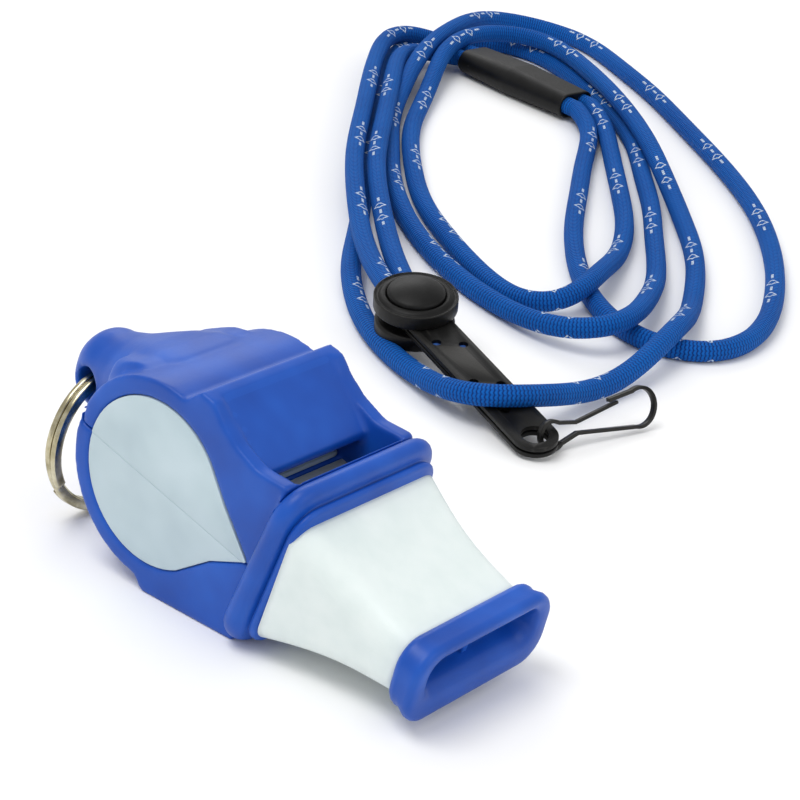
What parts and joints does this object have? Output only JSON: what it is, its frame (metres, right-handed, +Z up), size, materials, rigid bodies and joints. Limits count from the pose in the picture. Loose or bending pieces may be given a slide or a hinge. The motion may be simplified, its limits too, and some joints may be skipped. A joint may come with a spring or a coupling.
{
  "type": "training whistle",
  "caption": "Hooded pealess training whistle with a soft covered mouth grip, a rear split ring and a coiled cord lanyard with slider, round clamp, strap and snap hook.",
  "frame": {"origin": "middle of the foot's flat underside, on the surface that the whistle lies on", "axes": "+X towards the mouth grip, +Y to the whistle's left side, +Z up; the whistle lies nose down on its foot and its flange"},
  "size_m": [0.161, 0.2255, 0.0283],
  "materials": {
    "body_blue": "satin moulded plastic, royal blue",
    "core_pale": "satin moulded plastic, pale blue grey",
    "slot_grey": "matt grey plastic",
    "cover_white": "soft smooth elastomer, near white",
    "ring_metal": "bright nickel with a warm cast",
    "cord_blue": "knitted cord, royal blue with small pale marks",
    "fitting_black": "black moulded plastic",
    "strap_black": "black coated strap",
    "hook_black": "black coated flat wire"
  },
  "bodies": {
    "whistle": {"shell_upper": "body_blue", "shell_lower": "body_blue", "core_upper": "core_pale", "core_lower": "core_pale", "chamber_divider": "core_pale", "airway_floor": "slot_grey", "mouth_divider": "body_blue", "grip_cover": "cover_white"},
    "ring": {"split_ring": "ring_metal"},
    "lanyard": {"neck_cord": "cord_blue", "clamp_cap": "fitting_black", "clamp_button": "fitting_black", "clamp_base": "fitting_black", "clamp_rivet": "ring_metal", "strap_upper": "strap_black", "strap_lower": "strap_black", "cord_tails": "cord_blue"},
    "slider": {"slider_barrel": "fitting_black"},
    "hook": {"hook_frame": "hook_black"},
    "gate": {"hook_gate": "hook_black"}
  },
  "joints": [
    {"name": "ring_swing", "type": "hinge", "parent": "whistle", "child": "ring", "pos_m": [-0.02497, 0, 0.01781], "axis": [0, 1, 0], "range_deg": [-8, 135]},
    {"name": "lanyard_lift", "type": "slide", "parent": "whistle", "child": "lanyard", "axis": [0, 0, 1], "range_m": [0, 0.08]},
    {"name": "slider_slide", "type": "slide", "parent": "lanyard", "child": "slider", "axis": [0.9877, -0.1564, 0], "range_m": [-0.0015, 0.002]},
    {"name": "hook_swing", "type": "hinge", "parent": "lanyard", "child": "hook", "pos_m": [0.00095, 0.05803, 0.00226], "axis": [0.8936, -0.4263, -0.1403], "range_deg": [0, 70]},
    {"name": "gate_flex", "type": "hinge", "parent": "hook", "child": "gate", "pos_m": [0.00171, 0.0622, 0.0033], "axis": [-0.9208, 0.2458, -0.3028], "range_deg": [0, 8], "stiffness_Nm_per_rad": 0.05}
  ]
}
